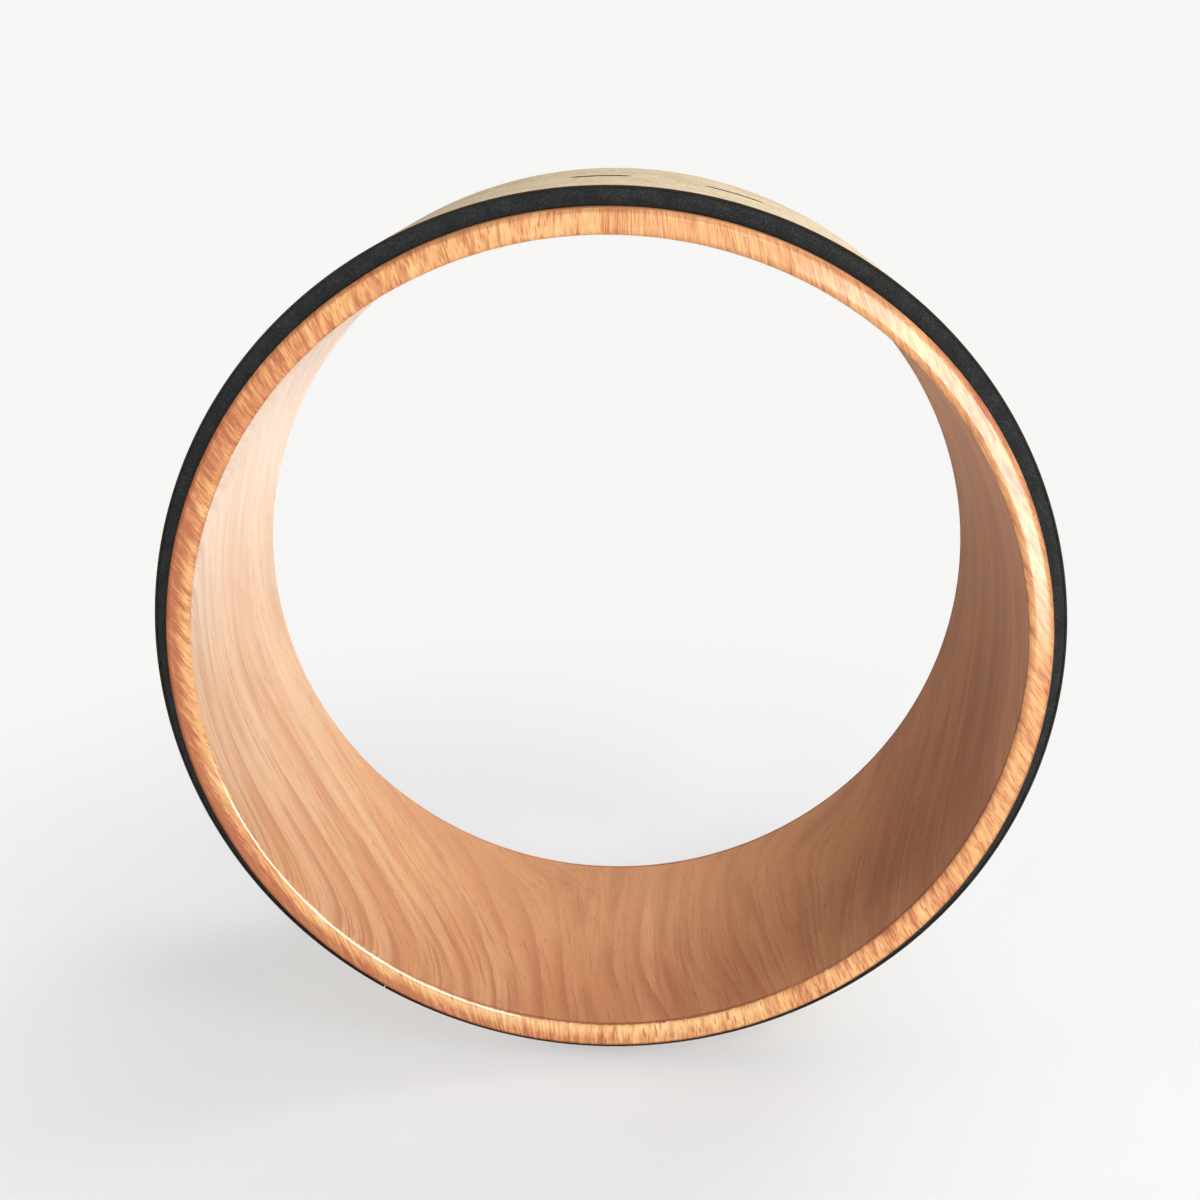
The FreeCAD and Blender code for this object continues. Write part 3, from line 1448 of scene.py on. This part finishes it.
def mixed(tree: bpy.types.NodeTree, share: Socket, under: Socket, over: Socket) -> Socket:
    """Mix two shaders.

    Args:
        tree: Node tree of a material or the world.
        share: How much of the upper shader shows, from 0 to 1.
        under: Lower shader.
        over: Upper shader.

    Returns:
        The shader that results.
    """
    mix = tree.nodes.new("ShaderNodeMixShader")
    for entry, source in zip(mix.inputs, (share, under, over)):
        tree.links.new(source, entry)
    return mix.outputs["Shader"]


@dataclass(frozen=True)
class PaleFloor:
    """Pale floor that fades into the backdrop's white away from the wheel."""

    backdrop: Colour
    name: str = "pale_floor"
    colour: Colour = (0.78, 0.785, 0.81)
    fade_mm: Limits = (150.0, 460.0)
    veil: float = 0.50
    roughness: Limits = (0.55, 0.7)
    roughness_pitch_mm: float = 120.0

    def build(self) -> bpy.types.Material:
        """Make the material.

        Returns:
            The material.
        """
        graph = Graph(self.name)
        graph.set(
            base_color=(*self.colour, 1.0),
            roughness=graph.ranged(graph.grain(self.roughness_pitch_mm), *self.roughness),
            specular_ior_level=NO_GLOSS,
        )
        across, along, _ = graph.parts(graph.place_mm)
        far = graph.eased(graph.hypotenuse(across, along), *self.fade_mm)
        share = graph.times(graph.ranged(far, self.veil, 1.0), seen_directly(graph.tree))
        glow = graph.node("ShaderNodeEmission")
        graph.feed(glow.inputs["Color"], (*self.backdrop, 1.0))
        surface = mixed(
            graph.tree, share, graph.shader.outputs["BSDF"], glow.outputs["Emission"]
        )
        graph.feed(graph.tree.nodes["Material Output"].inputs["Surface"], surface)
        return graph.material


class Lit(Enum):
    """What a lamp acts on."""

    ALL = "all"
    GLOSS = "gloss"


@dataclass(frozen=True)
class SoftBox:
    """Rectangular studio lamp."""

    name: str
    place: Place
    aim: Place
    size: tuple[float, float]
    power: float
    roll: float = 0.0
    colour: Colour = WHITE
    spread: float = 180.0
    lit: Lit = Lit.ALL

    def build(self) -> bpy.types.Object:
        """Hang the lamp and turn it towards its aim.

        Returns:
            The lamp.
        """
        lamp = bpy.data.lights.new(self.name, "AREA")
        lamp.shape = "RECTANGLE"
        lamp.size, lamp.size_y = self.size
        lamp.energy = self.power
        lamp.color = self.colour
        lamp.spread = math.radians(self.spread)
        hung = linked(self.name, lamp)
        hung.location = self.place
        towards = Vector(self.aim) - Vector(self.place)
        rolled = Quaternion(UPWARDS, math.radians(self.roll))
        hung.rotation_euler = (towards.to_track_quat("-Z", "Y") @ rolled).to_euler()
        hung.visible_camera = False
        hung.visible_diffuse = self.lit is Lit.ALL
        return hung


@dataclass
class Studio:
    """Floor, lamps, surroundings and camera."""

    floor_radius: float = 4.0
    floor_segments: int = 96
    backdrop: Colour = (0.93, 0.925, 0.915)
    ambient: Colour = (0.92, 0.95, 1.0)
    ambient_strengths: Limits = (0.0, 0.28)
    ambient_from: Place = (0.77, -0.12, 0.63)
    camera_place: Place = (0.01338, -0.575, 0.190)
    camera_pitch: float = 18.09
    camera_yaw: float = -1.75
    lens_mm: float = 47.19
    sensor_mm: float = 36.0
    lamps: tuple[SoftBox, ...] = (
        SoftBox("side_lamp", (0.90, -0.72, 0.78), CENTRE, (0.6, 0.6), 7.2, colour=COOL),
        SoftBox("back_lamp", (0.90, 0.72, 0.78), CENTRE, (0.7, 0.7), 9.0, colour=COOL),
        SoftBox("front_lamp", (0.25, -1.25, 0.40), CENTRE, (0.35, 0.35), 8.4),
        SoftBox("top_lamp", (0.35, 0.35, 1.25), CENTRE, (1.0, 1.0), 6.0),
        SoftBox("tread_lamp", (-1.10, -0.06, 0.25), CENTRE, (0.26, 0.26), 3.6),
        SoftBox(
            "rim_gloss",
            place=(0.235, -0.62, -0.08),
            aim=(0.115, -0.065, 0.085),
            size=(0.16, 0.36),
            power=0.64,
            roll=25.0,
            colour=BLUISH,
            spread=50.0,
            lit=Lit.GLOSS,
        ),
        SoftBox(
            "lip_gloss",
            place=(0.534, -0.185, 0.37),
            aim=(-0.09, -0.064, -0.11),
            size=(0.22, 1.0),
            power=88.0,
            lit=Lit.GLOSS,
        ),
        SoftBox(
            "high_wall_gloss",
            place=(-0.125, 0.33, -0.05),
            aim=(-0.193, -0.61, 0.278),
            size=(0.19, 0.22),
            power=0.089,
            colour=GREENISH,
            spread=60.0,
            lit=Lit.GLOSS,
        ),
        SoftBox(
            "low_wall_gloss",
            place=(0.015, 0.33, -0.10),
            aim=(-0.385, -0.57, 0.03),
            size=(0.10, 0.13),
            power=0.0085,
            colour=GREENISH,
            spread=50.0,
            lit=Lit.GLOSS,
        ),
    )

    def lay_floor(self) -> bpy.types.Object:
        """Lay the floor under the wheel.

        Returns:
            The floor.
        """
        bm = bmesh.new()
        bmesh.ops.create_circle(
            bm,
            cap_ends=True,
            segments=self.floor_segments,
            radius=self.floor_radius,
            matrix=Matrix.Translation((0.0, 0.0, cad_box[0].z)),
        )
        floor = meshed("floor", bm)
        floor.data.materials.append(PaleFloor(self.backdrop).build())
        return floor

    def ambient_strength(self, tree: bpy.types.NodeTree) -> Socket:
        """Strength of the surroundings' light, which rises towards one side.

        Args:
            tree: Node tree of the world.

        Returns:
            The strength.
        """
        facing = tree.nodes.new("ShaderNodeVectorMath")
        facing.operation = "DOT_PRODUCT"
        facing.inputs[1].default_value = self.ambient_from
        direction = tree.nodes.new("ShaderNodeTexCoord").outputs["Generated"]
        tree.links.new(direction, facing.inputs[0])
        ranged = tree.nodes.new("ShaderNodeMapRange")
        ranged.inputs["From Min"].default_value = -1.0
        ranged.inputs["To Min"].default_value = self.ambient_strengths[0]
        ranged.inputs["To Max"].default_value = self.ambient_strengths[1]
        tree.links.new(facing.outputs["Value"], ranged.inputs["Value"])
        return ranged.outputs["Result"]

    def light(self) -> None:
        """Hang the lamps and set the surroundings."""
        for lamp in self.lamps:
            lamp.build()
        world = bpy.data.worlds.new("surroundings")
        world.use_nodes = True
        tree = world.node_tree
        soft = tree.nodes["Background"]
        soft.inputs["Color"].default_value = (*self.ambient, 1.0)
        tree.links.new(self.ambient_strength(tree), soft.inputs["Strength"])
        pale = tree.nodes.new("ShaderNodeBackground")
        pale.inputs["Color"].default_value = (*self.backdrop, 1.0)
        shaders = [each.outputs["Background"] for each in (soft, pale)]
        surface = mixed(tree, seen_directly(tree), *shaders)
        tree.links.new(surface, tree.nodes["World Output"].inputs["Surface"])
        bpy.context.scene.world = world

    def place_camera(self) -> bpy.types.Object:
        """Stand the camera where the wheel is seen from a little above and close in front.

        Returns:
            The camera.
        """
        lens = bpy.data.cameras.new("camera")
        lens.sensor_width = self.sensor_mm
        lens.lens = self.lens_mm
        camera = linked("camera", lens)
        camera.location = self.camera_place
        pitch = math.radians(self.camera_pitch)
        yaw = math.radians(self.camera_yaw)
        level = math.cos(pitch)
        looking = Vector((math.sin(yaw) * level, math.cos(yaw) * level, -math.sin(pitch)))
        camera.rotation_euler = looking.to_track_quat("-Z", "Y").to_euler()
        bpy.context.scene.camera = camera
        return camera

    def build(self) -> None:
        """Set everything up."""
        self.place_camera()
        self.lay_floor()
        self.light()
        bpy.context.scene.view_settings.view_transform = "Standard"


def main() -> None:
    """Build the studio and the wheel, in order."""
    logging.basicConfig(level=logging.INFO, format="%(name)s: %(message)s")
    Studio().build()
    Hoop().build()
    tread = Tread()
    tread.dress_films()
    tread.build_foam()
    tread.build_cork()
    tread.build_dashes()


if __name__ == "__main__":
    main()
